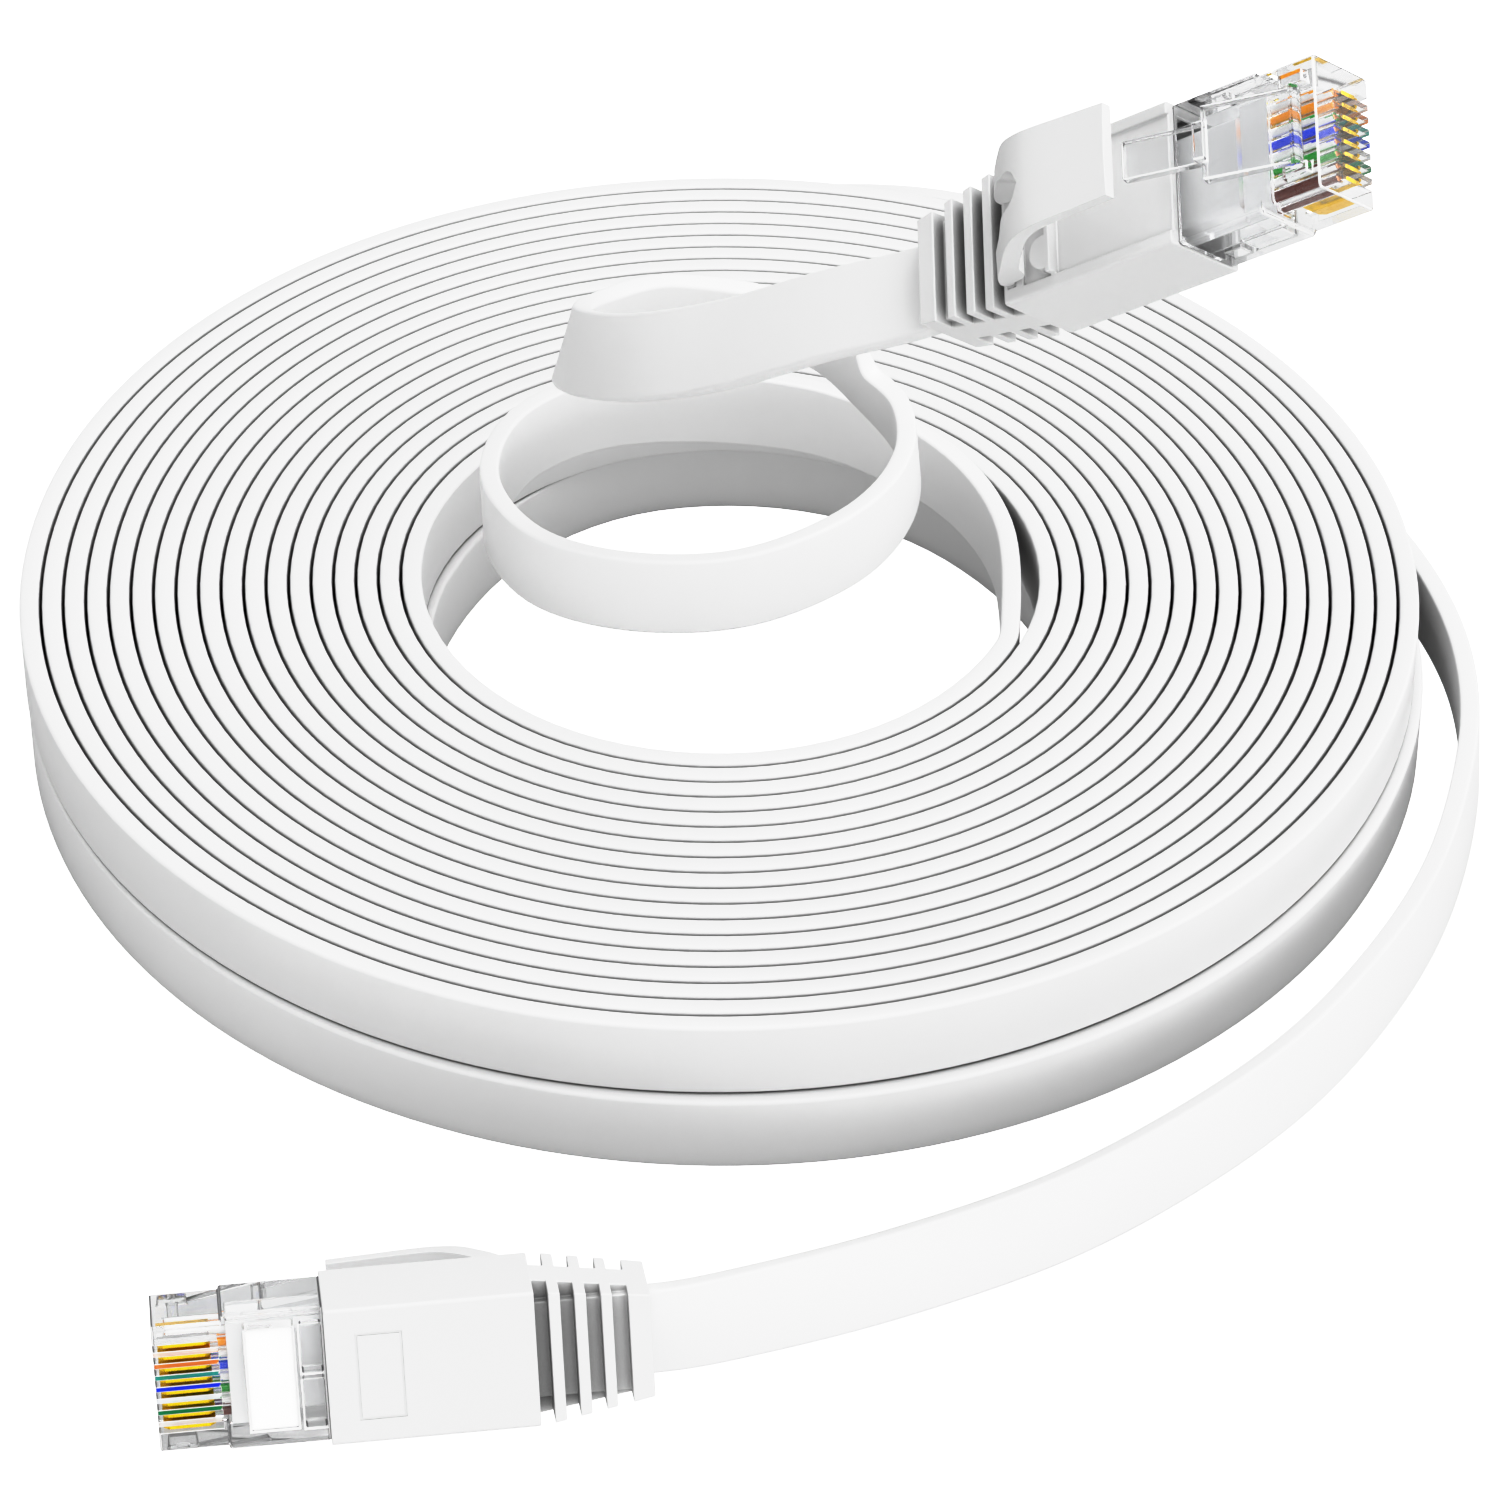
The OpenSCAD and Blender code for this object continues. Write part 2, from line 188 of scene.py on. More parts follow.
def full_route():
    pts = []
    # tail, from plug B
    axis = -ROT["b"][:, 0]
    start = AT["b"] + PLUG_L * axis
    lean = lean_of(axis, ROT["b"][:, 1])
    first = np.array(TAIL[0][:3])
    steer = first - 2 * np.linalg.norm(first - start) * axis
    into = [polar(LO_C, LO_R0, d, 3.75) for d in (25.5, 37)]
    pts += [list(p) for p in crom([[*steer, lean], [*start, lean], *TAIL, *into], 8)][:-1]
    # lower layer, inwards
    U = 270 + 360 * 8
    r_in, r_out = LO_R0 - 17 * LO_P, LO_R0 - 16 * LO_P
    deg = 25.5 + 2.4 / LO_R0 * 57.296
    rc = r_out - 3.15
    far = 12.0
    while deg < U - (far + 1.2) / rc * 57.296:
        r = LO_R0 - LO_P * s1_index(deg)
        pts.append(polar(LO_C, r, deg, 3.75))
        deg += 2.4 / r * 57.296
    # hairpin at the inner wall
    pts += hairpin(LO_C, 0, 1, r_in, r_out, 3.15, U, 3.75, far)
    # lower layer, outwards, the other way round, and up the outside
    deg = U - 1.6 / r_out * 57.296
    rise = lambda d: 3.75 + 7.5 * (1 - smoothstep(d, 66, 118))
    END2 = 68.0
    while deg > END2:
        r = LO_R0 - LO_P * (s1_index(deg) - 1)
        x, y, _, _ = polar(LO_C, r, deg, 0)
        pts.append([x, y, rise(deg), 0.0])
        deg -= 2.4 / r * 57.296
    # hairpin outside the upper layer, behind the plug in the air
    x, y = pts[-1][:2]
    q_in = math.hypot(x, y)
    at = math.degrees(math.atan2(y, x))
    far2 = 12.5
    turn_at = at - (far2 + 2.2) / 67 * 57.296
    pts += hairpin(UP_C, 0, -1, q_in - 0.05, UP_R0, 3.2, turn_at, 11.25, far2)
    # upper layer, inwards
    deg = turn_at + 1.6 / UP_R0 * 57.296
    END = 343.0 + 360 * 17
    while deg < END - 12:
        r = UP_R0 - UP_P * steps_in(deg, 25, 94, 1, 17)
        pts.append(polar(UP_C, r, deg, 11.25))
        deg += 2.4 / r * 57.296
    r17 = UP_R0 - UP_P * 17
    # lead, out of the innermost turn up to plug A
    axis = ROT["a"][:, 0]
    end = AT["a"] - PLUG_L * axis
    lean = lean_of(axis, ROT["a"][:, 1])
    last = np.array(LEAD[-1][:3])
    steer = last + 2 * np.linalg.norm(end - last) * axis
    pre = [polar(UP_C, r17, d, 11.25) for d in (END - 30, END - 12)]
    pts += [list(p) for p in crom([*pre, *LEAD, [*end, lean], [*steer, lean]], 8)]
    return np.array(pts)


ROUTE = full_route()
SEG = np.linalg.norm(np.diff(ROUTE[:, :3], axis=0), axis=1)
ROUTE = ROUTE[np.concatenate([[True], SEG > 0.2])]


def section(w, t, r, seg=3):
    """Rounded rectangle, counter-clockwise in (across the width, across the thickness), with seg + 1 points round each
    corner.
    """
    pts = []
    hw, ht = w / 2, t / 2
    for cx, cy, a0 in ((hw - r, ht - r, 0), (-(hw - r), ht - r, 90), (-(hw - r), -(ht - r), 180), (hw - r, -(ht - r), 270)):
        for k in range(seg + 1):
            a = math.radians(a0 + 90 * k / seg)
            pts.append((cx + r * math.cos(a), cy + r * math.sin(a)))
    return pts


def ribbon(name, route, sec):
    P = route[:, :3]
    t = np.zeros_like(P)
    t[1:-1] = P[2:] - P[:-2]
    t[0], t[-1] = -ROT["b"][:, 0], ROT["a"][:, 0]
    t /= np.linalg.norm(t, axis=1)[:, None]
    n_sec = len(sec)
    sec = np.array(sec)
    verts = np.zeros((len(P) * n_sec, 3))
    for i in range(len(P)):
        b, n = frame_of(t[i])
        c, s = math.cos(math.radians(route[i, 3])), math.sin(math.radians(route[i, 3]))
        b2, n2 = c * b - s * n, c * n + s * b
        verts[i * n_sec:(i + 1) * n_sec] = P[i] + sec[:, :1] * b2 + sec[:, 1:] * n2
    faces = []
    for i in range(len(P) - 1):
        for j in range(n_sec):
            k = (j + 1) % n_sec
            faces.append((i * n_sec + j, i * n_sec + k, (i + 1) * n_sec + k, (i + 1) * n_sec + j))
    faces.append(tuple(range(n_sec)))
    faces.append(tuple((len(P) - 1) * n_sec + j for j in reversed(range(n_sec))))
    return make(name, verts, faces)


# ---------------------------------------------------------------- materials
def nt(mat):
    mat.use_nodes = True
    return mat.node_tree.nodes, mat.node_tree.links


def plastic(name, base, rough, bump=0.0, scale=900.0, vary=0.015, ior=1.5, spec=0.5, painted_recess_shade=None, local=False, glow=0.0):
    """Moulded or extruded plastic: slow unevenness of colour, a fine grain in gloss and relief, and painted shade in
    recesses, where ambient occlusion darkens the base colour.
    glow is painted light: an emission standing in for the light that reaches a piece inside the clear housing through
    its walls."""
    mat = bpy.data.materials.new(name)
    n, l = nt(mat)
    p = n["Principled BSDF"]
    p.inputs["IOR"].default_value = ior
    p.inputs["Specular IOR Level"].default_value = spec
    # painted light: the piece glows in its own base colour
    if glow:
        p.inputs["Emission Color"].default_value = (*base, 1)
        p.inputs["Emission Strength"].default_value = glow
    tc = n.new("ShaderNodeTexCoord")
    big = n.new("ShaderNodeTexNoise"); big.inputs["Scale"].default_value = 60; big.inputs["Detail"].default_value = 3
    l.new(tc.outputs["Object"], big.inputs["Vector"])
    ramp = n.new("ShaderNodeMapRange")
    ramp.inputs["From Min"].default_value, ramp.inputs["From Max"].default_value = 0.3, 0.7
    ramp.inputs["To Min"].default_value, ramp.inputs["To Max"].default_value = 1 - vary, 1 + vary * 0.4
    l.new(big.outputs["Fac"], ramp.inputs["Value"])
    value = ramp.outputs["Result"]
    # painted shade: ambient occlusion darkens the base colour in recesses, grooves and the gaps between parts
    if painted_recess_shade:
        reach, least, until = painted_recess_shade
        ao = n.new("ShaderNodeAmbientOcclusion")
        ao.samples = 8
        ao.only_local = local
        ao.inputs["Distance"].default_value = reach
        mr = n.new("ShaderNodeMapRange"); mr.interpolation_type = "SMOOTHSTEP"
        mr.inputs["From Min"].default_value, mr.inputs["From Max"].default_value = 0.0, until
        mr.inputs["To Min"].default_value, mr.inputs["To Max"].default_value = least, 1.0
        l.new(ao.outputs["AO"], mr.inputs["Value"])
        mul = n.new("ShaderNodeMath"); mul.operation = "MULTIPLY"
        l.new(value, mul.inputs[0]); l.new(mr.outputs["Result"], mul.inputs[1])
        value = mul.outputs[0]
    mix = n.new("ShaderNodeMix"); mix.data_type = "RGBA"; mix.blend_type = "MULTIPLY"
    mix.inputs["Factor"].default_value = 1
    a_, b_ = [i for i in mix.inputs if i.type == "RGBA"][:2]
    a_.default_value = (*base, 1)
    l.new(value, b_)
    l.new([o for o in mix.outputs if o.type == "RGBA"][0], p.inputs["Base Color"])
    fine = n.new("ShaderNodeTexNoise"); fine.inputs["Scale"].default_value = scale; fine.inputs["Detail"].default_value = 4
    l.new(tc.outputs["Object"], fine.inputs["Vector"])
    rr = n.new("ShaderNodeMapRange")
    rr.inputs["To Min"].default_value, rr.inputs["To Max"].default_value = rough - 0.05, rough + 0.05
    l.new(fine.outputs["Fac"], rr.inputs["Value"])
    l.new(rr.outputs["Result"], p.inputs["Roughness"])
    if bump:
        b = n.new("ShaderNodeBump"); b.inputs["Strength"].default_value = bump; b.inputs["Distance"].default_value = 0.00002
        l.new(fine.outputs["Fac"], b.inputs["Height"])
        l.new(b.outputs["Normal"], p.inputs["Normal"])
    return mat


# painted shade: ambient occlusion darkens the jacket in the gaps between turns and layers
JACKET = plastic("jacket_white", (0.74, 0.74, 0.74), 0.34, bump=0.25, scale=700, painted_recess_shade=(0.0045, 0.22, 0.62))
# painted light: a lighter copy of the jacket white with a painted glow, for the cable end inside the housing
JACKET_IN = plastic("jacket_white_inside_painted_light", (0.88, 0.88, 0.88), 0.34, bump=0.25, scale=700, glow=0.2)
# painted shade: ambient occlusion darkens the boot's grooves, engraved frame and recesses
BOOT = plastic("boot_white", (0.69, 0.69, 0.69), 0.42, bump=0.3, scale=900, painted_recess_shade=(0.0025, 0.06, 0.66), local=True)
UNDER = plastic("boot_white_thin", (0.69, 0.69, 0.69), 0.42, bump=0.3, scale=900, glow=0.3)      # painted light: a glowing copy of the boot white for the strap's underside, for the light that comes through the thin strap
# painted light: the insert white glows a little inside the clear housing
INSERT = plastic("insert_white", (0.93, 0.93, 0.93), 0.4, glow=0.2)


def clear(name, tint, edge, near, far, transmission=1.0, rough=0.02, ior=1.2, coat=0.5):
    """Clear moulded polycarbonate. Its faces pass light; where they turn away, at rims and radii, the colour is painted
    darker towards the edge colour: painted shade for the dark lines that thick clear rims show.
    """
    mat = bpy.data.materials.new(name)
    n, l = nt(mat)
    p = n["Principled BSDF"]
    p.inputs["Transmission Weight"].default_value = transmission
    p.inputs["IOR"].default_value = ior
    p.inputs["Coat Weight"].default_value = coat
    p.inputs["Coat Roughness"].default_value = 0.02
    p.inputs["Coat IOR"].default_value = 1.5
    # painted shade: the facing of each face mixes the base colour towards the dark edge colour
    lw = n.new("ShaderNodeLayerWeight"); lw.inputs["Blend"].default_value = 0.5
    mr = n.new("ShaderNodeMapRange"); mr.interpolation_type = "SMOOTHSTEP"
    mr.inputs["From Min"].default_value, mr.inputs["From Max"].default_value = near, far
    l.new(lw.outputs["Facing"], mr.inputs["Value"])
    mix = n.new("ShaderNodeMix"); mix.data_type = "RGBA"
    a_, b_ = [i for i in mix.inputs if i.type == "RGBA"][:2]
    a_.default_value, b_.default_value = (*tint, 1), (*edge, 1)
    l.new(mr.outputs["Result"], mix.inputs["Factor"])
    l.new([o for o in mix.outputs if o.type == "RGBA"][0], p.inputs["Base Color"])
    tc = n.new("ShaderNodeTexCoord")
    f = n.new("ShaderNodeTexNoise"); f.inputs["Scale"].default_value = 500; f.inputs["Detail"].default_value = 2
    l.new(tc.outputs["Object"], f.inputs["Vector"])
    rr = n.new("ShaderNodeMapRange"); rr.inputs["To Min"].default_value, rr.inputs["To Max"].default_value = rough * 0.5, rough * 1.6
    l.new(f.outputs["Fac"], rr.inputs["Value"]); l.new(rr.outputs["Result"], p.inputs["Roughness"])
    return mat


CLEAR = clear("clear_polycarbonate", (0.94, 0.943, 0.947), (0.34, 0.35, 0.37), 0.64, 0.97)
# painted shade: the radii turn near black where they face away, drawing dark outlines on the clear parts
RIM = clear("clear_polycarbonate_rim", (0.93, 0.93, 0.93), (0.02, 0.02, 0.025), 0.34, 0.64, transmission=0.25, rough=0.1, coat=1.0)

GOLD = bpy.data.materials.new("gold_plate")
n_, l_ = nt(GOLD)
p_ = n_["Principled BSDF"]
p_.inputs["Metallic"].default_value = 1
p_.inputs["Base Color"].default_value = (1.0, 0.66, 0.02, 1)
tc_ = n_.new("ShaderNodeTexCoord")
f_ = n_.new("ShaderNodeTexNoise"); f_.inputs["Scale"].default_value = 1500; f_.inputs["Detail"].default_value = 3
l_.new(tc_.outputs["Object"], f_.inputs["Vector"])
rr_ = n_.new("ShaderNodeMapRange"); rr_.inputs["To Min"].default_value, rr_.inputs["To Max"].default_value = 0.16, 0.32
l_.new(f_.outputs["Fac"], rr_.inputs["Value"]); l_.new(rr_.outputs["Result"], p_.inputs["Roughness"])


WIRES = [("white_orange", (1.0, 0.42, 0.01), True), ("orange", (1.0, 0.38, 0.01), False), ("white_green", (0.0, 0.38, 0.03), True),
         ("blue", (0.02, 0.07, 0.85), False), ("white_blue", (0.0, 0.01, 0.70), True), ("green", (0.01, 0.36, 0.03), False),
         ("white_brown", (0.09, 0.018, 0.01), True), ("brown", (0.13, 0.03, 0.02), False)]
# painted light: the wire materials glow a little, for the light that reaches them through the clear housing
WIRE_WHITE = plastic("wire_white", (0.88, 0.88, 0.88), 0.3, glow=0.25)
WIRE_MAT = {k: plastic("wire_" + k, c, 0.28, vary=0.06, glow=0.25) for k, c, _ in WIRES}
# painted tint: each clear fin is coloured like the wire it stands over, standing in for the wire seen through it, with
# painted shade at its rims
FINS = [clear("clear_fin_" + k, c, tuple(0.4 * v for v in c), 0.7, 0.98, transmission=0.35, rough=0.15) for k, c in
        [("white_orange", (0.9, 0.66, 0.6)), ("orange", (0.75, 0.2, 0.03)), ("white_green", (0.01, 0.3, 0.25)), ("blue", (0.0, 0.02, 0.85)),
         ("white_blue", (0.8, 0.84, 0.9)), ("green", (0.0, 0.2, 0.06)), ("white_brown", (0.8, 0.75, 0.72))]]
COPPER = bpy.data.materials.new("copper_core")
n_, l_ = nt(COPPER)
n_["Principled BSDF"].inputs["Metallic"].default_value = 1
n_["Principled BSDF"].inputs["Base Color"].default_value = (0.86, 0.42, 0.22, 1)
tc_ = n_.new("ShaderNodeTexCoord")
f_ = n_.new("ShaderNodeTexNoise"); f_.inputs["Scale"].default_value = 2500
l_.new(tc_.outputs["Object"], f_.inputs["Vector"])
rr_ = n_.new("ShaderNodeMapRange"); rr_.inputs["To Min"].default_value, rr_.inputs["To Max"].default_value = 0.2, 0.4
l_.new(f_.outputs["Fac"], rr_.inputs["Value"]); l_.new(rr_.outputs["Result"], n_["Principled BSDF"].inputs["Roughness"])


def wire(side, i):
    """One insulated conductor in its hole: solid colour, or white with a stripe down it, and a bare core at the cut end."""
    key, _, striped = WIRES[i]
    y, r, sides = (3.5 - i) * 1.016, 0.43, 24
    xs = [-9.0] + [-8.6 + 0.4 * k for k in range(18)] + [-1.25, -1.1]
    verts, faces, mats = [], [], []
    for x in xs:
        rr = r - (0.05 if x == xs[-1] else 0)
        for k in range(sides):
            a = 2 * math.pi * (k + 0.5) / sides
            verts.append((x, y + rr * math.cos(a), rr * math.sin(a)))
    for j in range(len(xs) - 1):
        for k in range(sides):
            q = (k + 1) % sides
            faces.append((j * sides + k, j * sides + q, (j + 1) * sides + q, (j + 1) * sides + k))
            # the stripe shows above and below, with white at the sides
            at = (k + 1 - 0.25 * j) % 12
            mats.append(1 if striped and 2 <= at % 12 < 10 else 0)
    last = (len(xs) - 1) * sides
    core = len(verts)
    for k in range(sides):
        a = 2 * math.pi * (k + 0.5) / sides
        verts.append((xs[-1], y + 0.22 * math.cos(a), 0.22 * math.sin(a)))
    tip = len(verts)
    for k in range(sides):
        a = 2 * math.pi * (k + 0.5) / sides
        verts.append((xs[-1] + 0.08, y + 0.2 * math.cos(a), 0.2 * math.sin(a)))
    for k in range(sides):
        q = (k + 1) % sides
        faces.append((last + k, last + q, core + q, core + k)); mats.append(0)
        faces.append((core + k, core + q, tip + q, tip + k)); mats.append(2)
    faces.append(tuple(tip + k for k in range(sides))); mats.append(2)
    faces.append(tuple(reversed(range(sides)))); mats.append(0)
    name = "wire_%s_%s_detail" % (key, side)
    me = bpy.data.meshes.new(name)
    me.from_pydata(verts, [], faces)
    me.transform(plug_matrix(side))
    for m in (WIRE_MAT[key], WIRE_WHITE, COPPER):
        me.materials.append(m)
    me.polygons.foreach_set("material_index", mats)
    smooth_mesh(me)
    ob = link(bpy.data.objects.new(name, me))
    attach(ob, "root")
    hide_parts("wire_%s_%s" % (key, side))
    return ob


def paint(node, mat):
    o = NODES[node]
    o.data.materials.clear()
    o.data.materials.append(mat)


def moulded(node, body, mat, rounds, seg=2, rim=None, tweak=None, join=False, tints=None):
    """A CAD node as it leaves the mould: the same shape, with a radius on its sharp edges. rounds is a list of (radius, least
    angle, test), and test gets an edge's middle and direction in the plug's axes. rim is the material of the radii; join makes one face
    of each flat side first; tints are the materials of the fins between the blades."""
    side = node[-1]
    m = plug_matrix(side)
    bm = bmesh.new()
    bm.from_mesh(NODES[node].data)
    bm.transform(m.inverted())
    bmesh.ops.remove_doubles(bm, verts=bm.verts, dist=0.003)
    if tweak:
        for v in bm.verts:
            tweak(v.co)
    if join:
        bmesh.ops.dissolve_limit(bm, angle_limit=math.radians(0.4), verts=bm.verts, edges=bm.edges, use_dissolve_boundaries=False)
    for f in bm.faces:
        f.material_index = 0
        f.smooth = False
    tree = BVHTree.FromBMesh(bm)
    widest = max(r for r, _, _ in rounds)
    for radius, least, test in rounds:
        es = []
        for e in bm.edges:
            if len(e.link_faces) == 2 and e.calc_face_angle(0) > math.radians(least):
                mid, d = (e.verts[0].co + e.verts[1].co) / 2, e.verts[1].co - e.verts[0].co
                if d.length > 1e-4 and test(mid, d.normalized()):
                    es.append(e)
        bmesh.ops.bevel(bm, geom=es, offset=radius, offset_type="OFFSET", segments=seg, profile=0.5, affect="EDGES",
                        clamp_overlap=False, loop_slide=True, material=1 if rim else -1)
    # a mitre that overshoots in a tight corner goes back to the surface
    for v in bm.verts:
        near, _, _, far = tree.find_nearest(v.co)
        if near is not None and far > 0.5 * widest:
            v.co = near
    bmesh.ops.dissolve_degenerate(bm, edges=bm.edges, dist=0.0005)
    # the fin faces between the blades get the painted wire-coloured tints
    if tints:
        bmesh.ops.bisect_plane(bm, geom=list(bm.verts) + list(bm.edges) + list(bm.faces), dist=1e-4, plane_co=(-5.1, 0, 0), plane_no=(1, 0, 0))
        low = min(v.co.z for v in bm.verts)
        for f in bm.faces:
            c = f.calc_center_median()
            i = 3 - round(c.y / 1.016)
            if f.material_index == 0 and c.z < low + 0.15 and c.x > -5.1 and abs(c.y - (3 - i) * 1.016) < 0.3 and 0 <= i < 7:
                f.material_index = 2 + i
    me = bpy.data.meshes.new(node + "_moulded")
    bm.to_mesh(me)
    bm.free()
    me.transform(m)
    me.materials.append(mat)
    if rim:
        me.materials.append(rim)
    for t in tints or []:
        me.materials.append(t)
    ob = link(bpy.data.objects.new(node + "_moulded", me))
    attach(ob, body)
    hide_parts(node)
    return ob


def anywhere(mid, d):
    return True


def lift_root(co):
    # room under the arm's root, so that it clears the housing when it is pressed
    c, s = math.cos(LATCH_RISE), math.sin(LATCH_RISE)
    dx, dz = co.x + 1.8, co.z - 3.6
    u, w = dx * c - dz * s, dx * s + dz * c
    if w < -0.3 and u < -0.3:
        w += 0.09
        co.x, co.z = -1.8 + u * c + w * s, 3.6 - u * s + w * c


def not_pivot(mid, d):
    return math.hypot(mid.x + 1.8, mid.z - 3.6) > 0.75


def not_in_bores(mid, d):
    return not_pivot(mid, d) and not (mid.x > -6.3 and abs(mid.y) < 4.7 and -3.1 < mid.z < 3.0)


def on_fins(mid, d):
    return mid.x > -5.25 and abs(mid.y) < 3.9 and mid.z < -3.1


def off_fins(mid, d):
    return not_in_bores(mid, d) and not on_fins(mid, d)


def long_edge(mid, d):
    return abs(d.x) > 0.9 and mid.x > -30.7 and abs(mid.y) > 5.8 and abs(mid.z) > 4.0


def off_frame(mid, d):
    return not (mid.z < -3.9 and -20.1 < mid.x < -15.9 and abs(mid.y) < 4.1)


def shallow_frame(co):
    # the engraved frame is a hairline
    if -4.0 < co.z < -3.9 and -20 < co.x < -16 and abs(co.y) < 4:
        co.z = -4.03


for s in "ab":
    moulded("boot_" + s, "root", BOOT, [(0.3, 40, long_edge), (0.12, 40, off_frame)], seg=3, tweak=shallow_frame, join=True)
    moulded("housing_" + s, "root", CLEAR, [(0.15, 28, off_fins), (0.06, 28, on_fins)], rim=RIM, tints=FINS)
    moulded("latch_" + s, "latch_" + s, CLEAR, [(0.15, 28, not_pivot)], rim=RIM, tweak=lift_root)
    moulded("contacts_" + s, "root", GOLD, [(0.05, 28, anywhere)], seg=1)
    moulded("strain_bar_" + s, "root", INSERT, [(0.1, 28, anywhere)])
    moulded("load_bar_" + s, "root", INSERT, [(0.08, 50, anywhere)])
    paint("cable_end_" + s, JACKET_IN)
    for i in range(8):
        wire(s, i)


def spline2(points, n):
    P = np.array([points[0], *points, points[-1]], float)
    P[0], P[-1] = 2 * P[1] - P[2], 2 * P[-2] - P[-3]
    out = []
    for i in range(1, len(P) - 2):
        a, b, c, d = P[i - 1:i + 3]
        for k in range(n):
            u = k / n
            out.append(0.5 * (2 * b + u * (c - a) + u * u * (2 * a - 5 * b + 4 * c - d) + u ** 3 * (3 * b - a - 3 * c + d)))
    out.append(P[-2])
    return np.array(out)


GUARD_OUT = [(-30.3, 4.45), (-30.2, 5.2), (-29.6, 6.1), (-28.4, 7.3), (-27.2, 8.45), (-26, 9.55), (-24.7, 10.4), (-23, 10.95), (-21, 11.1), (-17.5, 11.0), (-14.5, 10.9)]
GUARD_IN = [(-28.3, 4.45), (-27.75, 4.9), (-27.5, 5.45), (-27.15, 6.2), (-26.35, 7.1), (-25.2, 8.15), (-24.1, 9.1), (-22.8, 9.75), (-21, 10.0), (-17.5, 9.95), (-14.5, 9.85)]
GUARD_W = [(-31, 4.5), (-28, 4.65), (-26, 4.5), (-24, 4.25), (-22, 4.1), (-19.5, 4), (-17, 3.93), (-14.5, 3.85)]


def guard(side):
    """The arched guard: one smooth strap, split by a round notch into two legs at its root."""
    o = spline2(GUARD_OUT, 7)
    q = spline2(GUARD_IN, 7)
    m = len(o)
    wide = np.interp(o[:, 0], [w[0] for w in GUARD_W], [w[1] for w in GUARD_W])

    def notch(x):
        if x > -23.3:
            return 0.0
        if x > -24.9:
            return math.sqrt(max(0.0, 1.6 ** 2 - (x + 24.9) ** 2))
        return 1.6 + 0.8 * smoothstep(-x, 25.4, 27.4)

    bm = bmesh.new()
    across = 6
    gap = [notch((o[i][0] + q[i][0]) / 2) for i in range(m)]
    gap = [g if g > 0.2 else 0.0 for g in gap]
    for s in (-1, 1):
        rows = []
        for i in range(m):
            y0, y1 = gap[i], wide[i]
            row = []
            for face, prof in (("o", o), ("i", q)):
                cols = []
                for k in range(across + 1):
                    y = y0 + (y1 - y0) * k / across
                    # a slight crown over the width
                    drop = 0.16 * (y / 4.6) ** 2 if face == "o" else 0.0
                    cols.append(bm.verts.new((prof[i][0], s * y, prof[i][1] - drop)))
                row.append(cols)
            rows.append(row)
        for i in range(m - 1):
            a, b = rows[i], rows[i + 1]
            for k in range(across):
                bm.faces.new((a[0][k], a[0][k + 1], b[0][k + 1], b[0][k]))
                # the inner faces take the second material: the boot white with painted glow
                bm.faces.new((a[1][k], b[1][k], b[1][k + 1], a[1][k + 1])).material_index = 1
            bm.faces.new((a[0][across], a[1][across], b[1][across], b[0][across]))
            if gap[i] > 0 or gap[i + 1] > 0:
                bm.faces.new((a[0][0], b[0][0], b[1][0], a[1][0]))
        for k in range(across):
            bm.faces.new((rows[0][0][k], rows[0][1][k], rows[0][1][k + 1], rows[0][0][k + 1]))
            bm.faces.new((rows[-1][0][k], rows[-1][0][k + 1], rows[-1][1][k + 1], rows[-1][1][k]))
    bmesh.ops.remove_doubles(bm, verts=bm.verts, dist=0.002)
    # pivots at the root
    for s in (-1, 1):
        geo = bmesh.ops.create_cone(bm, cap_ends=True, segments=28, radius1=0.6, radius2=0.6, depth=1.9)
        rot = Matrix.Rotation(math.pi / 2, 4, "X")
        bmesh.ops.transform(bm, matrix=Matrix.Translation((-29.8, s * 3.55, 4.6)) @ rot, verts=geo["verts"])
    bmesh.ops.recalc_face_normals(bm, faces=bm.faces)
    me = bpy.data.meshes.new("latch_guard_%s_smooth" % side)
    bm.to_mesh(me)
    bm.free()
    me.transform(plug_matrix(side))
    me.materials.append(BOOT)
    me.materials.append(UNDER)
    smooth_mesh(me)
    ob = link(bpy.data.objects.new("latch_guard_%s_smooth" % side, me))
    b = ob.modifiers.new("edges", "BEVEL")
    b.width, b.segments, b.limit_method, b.angle_limit, b.harden_normals = 0.2 * MM, 3, "ANGLE", math.radians(40), True
    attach(ob, "guard_" + side)
    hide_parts("latch_guard_" + side)
    return ob


for s in "ab":
    guard(s)

# ---------------------------------------------------------------- the cable
cable = ribbon("flat_cable", ROUTE, section(7.4, 1.8, 0.34))
cable.data.materials.append(JACKET)
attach(cable, "root")
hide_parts("cable_coil_upper", "cable_coil_lower", "cable_lead", "cable_tail")

# ---------------------------------------------------------------- stage and light
def stage():
    me = bpy.data.meshes.new("floor")
    me.from_pydata([(-4, -4, 0), (4, -4, 0), (4, 4, 0), (-4, 4, 0)], [], [(0, 1, 2, 3)])
    floor = link(bpy.data.objects.new("floor", me))
    mat = bpy.data.materials.new("floor_white")
    n, l = nt(mat)
    p = n["Principled BSDF"]
    p.inputs["Base Color"].default_value = (0.5, 0.5, 0.5, 1)
    p.inputs["Roughness"].default_value = 0.9
    p.inputs["Specular IOR Level"].default_value = 0.0
    # the studio's floor is lit well past white, as a light table is, so no shadow greys it
    p.inputs["Emission Color"].default_value = (1, 1, 1, 1)
    lp = n.new("ShaderNodeLightPath")
    total = None
    for ray, glow in FLOOR_GLOW.items():
        mul = n.new("ShaderNodeMath"); mul.operation = "MULTIPLY_ADD"
        l.new(lp.outputs[ray], mul.inputs[0])
        mul.inputs[1].default_value = glow
        if total is None:
            mul.inputs[2].default_value = 0.1
        else:
            l.new(total, mul.inputs[2])
        total = mul.outputs[0]
    l.new(total, p.inputs["Emission Strength"])
    me.materials.append(mat)


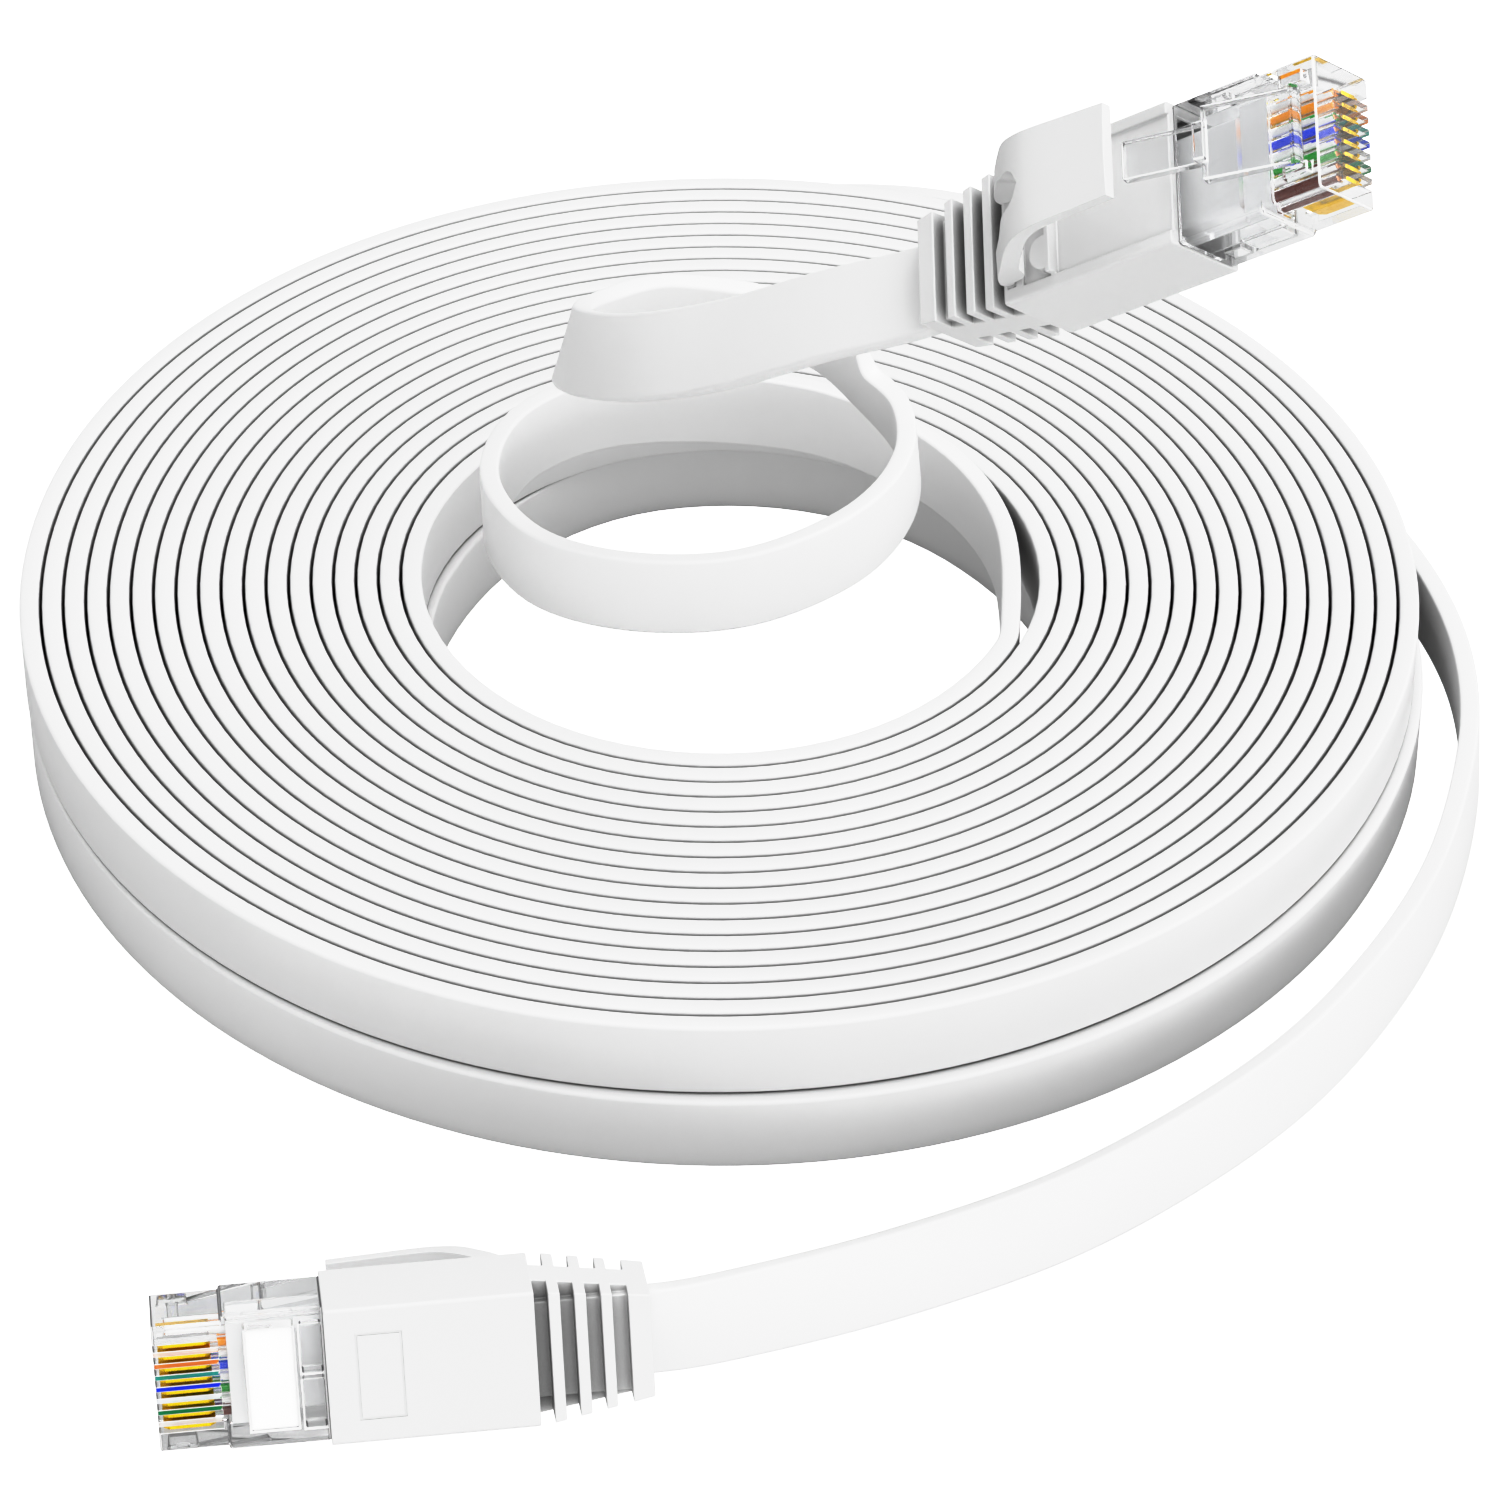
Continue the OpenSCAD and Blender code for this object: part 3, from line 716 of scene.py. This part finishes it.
FLOOR_GLOW = {"Is Camera Ray": 1.5, "Is Transmission Ray": 0.15}
stage()


def area(name, loc, target, size, power, colour=(1, 1, 1)):
    d = bpy.data.lights.new(name, "AREA")
    d.shape = "RECTANGLE"
    d.size, d.size_y = size
    d.energy = power
    d.color = colour
    o = link(bpy.data.objects.new(name, d))
    o.location = loc
    o.rotation_euler = (Vector(target) - Vector(loc)).to_track_quat("-Z", "Y").to_euler()
    return o


def studio(stops, strength, lean):
    """A round white room: brightness by height above the horizon, brighter towards lean."""
    world = bpy.data.worlds.new("studio")
    bpy.context.scene.world = world
    world.use_nodes = True
    n, l = world.node_tree.nodes, world.node_tree.links
    tc = n.new("ShaderNodeTexCoord")
    sep = n.new("ShaderNodeSeparateXYZ")
    l.new(tc.outputs["Generated"], sep.inputs[0])
    ramp = n.new("ShaderNodeValToRGB")
    el = ramp.color_ramp.elements
    while len(el) > 1:
        el.remove(el[-1])
    for i, (at, v) in enumerate(stops):
        e = el[0] if i == 0 else el.new(at)
        e.position = at
        e.color = (v, v, v, 1)
    l.new(sep.outputs["Z"], ramp.inputs["Fac"])
    dot = n.new("ShaderNodeVectorMath"); dot.operation = "DOT_PRODUCT"
    dot.inputs[1].default_value = (*lean, 0)
    l.new(tc.outputs["Generated"], dot.inputs[0])
    side = n.new("ShaderNodeMath"); side.operation = "ADD"; side.inputs[1].default_value = 1.0
    l.new(dot.outputs["Value"], side.inputs[0])
    mul = n.new("ShaderNodeMath"); mul.operation = "MULTIPLY"; mul.use_clamp = False
    l.new(ramp.outputs["Color"], mul.inputs[0]); l.new(side.outputs[0], mul.inputs[1])
    bg = n["Background"]
    tot = n.new("ShaderNodeMath"); tot.operation = "MULTIPLY"; tot.inputs[1].default_value = strength
    l.new(mul.outputs[0], tot.inputs[0])
    l.new(tot.outputs[0], bg.inputs["Strength"])
    bg.inputs["Color"].default_value = (1, 1, 1, 1)


studio([(0.0, 1.0), (0.25, 1.0), (0.38, 0.25), (0.72, 0.25), (0.86, 1.3), (1.0, 1.3)], 1.78, (0.52, -0.34))
area("key", (0.15, 0.1, 1.05), (0, 0, 0.02), (0.4, 0.4), 2.0)
area("front", (0.42, -0.95, 0.5), (0.02, -0.05, 0.01), (0.5, 0.3), 1.0)

sc = bpy.context.scene
sc.view_settings.view_transform = "Standard"
sc.view_settings.look = "None"
sc.view_settings.exposure = 0
sc.view_settings.gamma = 1
# a photographic tone curve: firmer greys and a soft shoulder below the white of the floor
sc.view_settings.use_curve_mapping = True
cm = sc.view_settings.curve_mapping
cm.use_clip = True
cm.white_level = (1.5, 1.5, 1.5)
curve = cm.curves[3]
TONES = [(0.0, 0.0), (0.1, 0.055), (0.25, 0.165), (0.5, 0.40), (0.7, 0.64), (0.84, 0.82), (1.0, 0.895), (1.2, 0.94), (1.5, 1.0)]
while len(curve.points) > 2:
    curve.points.remove(curve.points[1])
curve.points[0].location = TONES[0]
curve.points[-1].location = (1.0, 1.0)
for x, y in TONES[1:-1]:
    curve.points.new(x / 1.5, y)
cm.update()
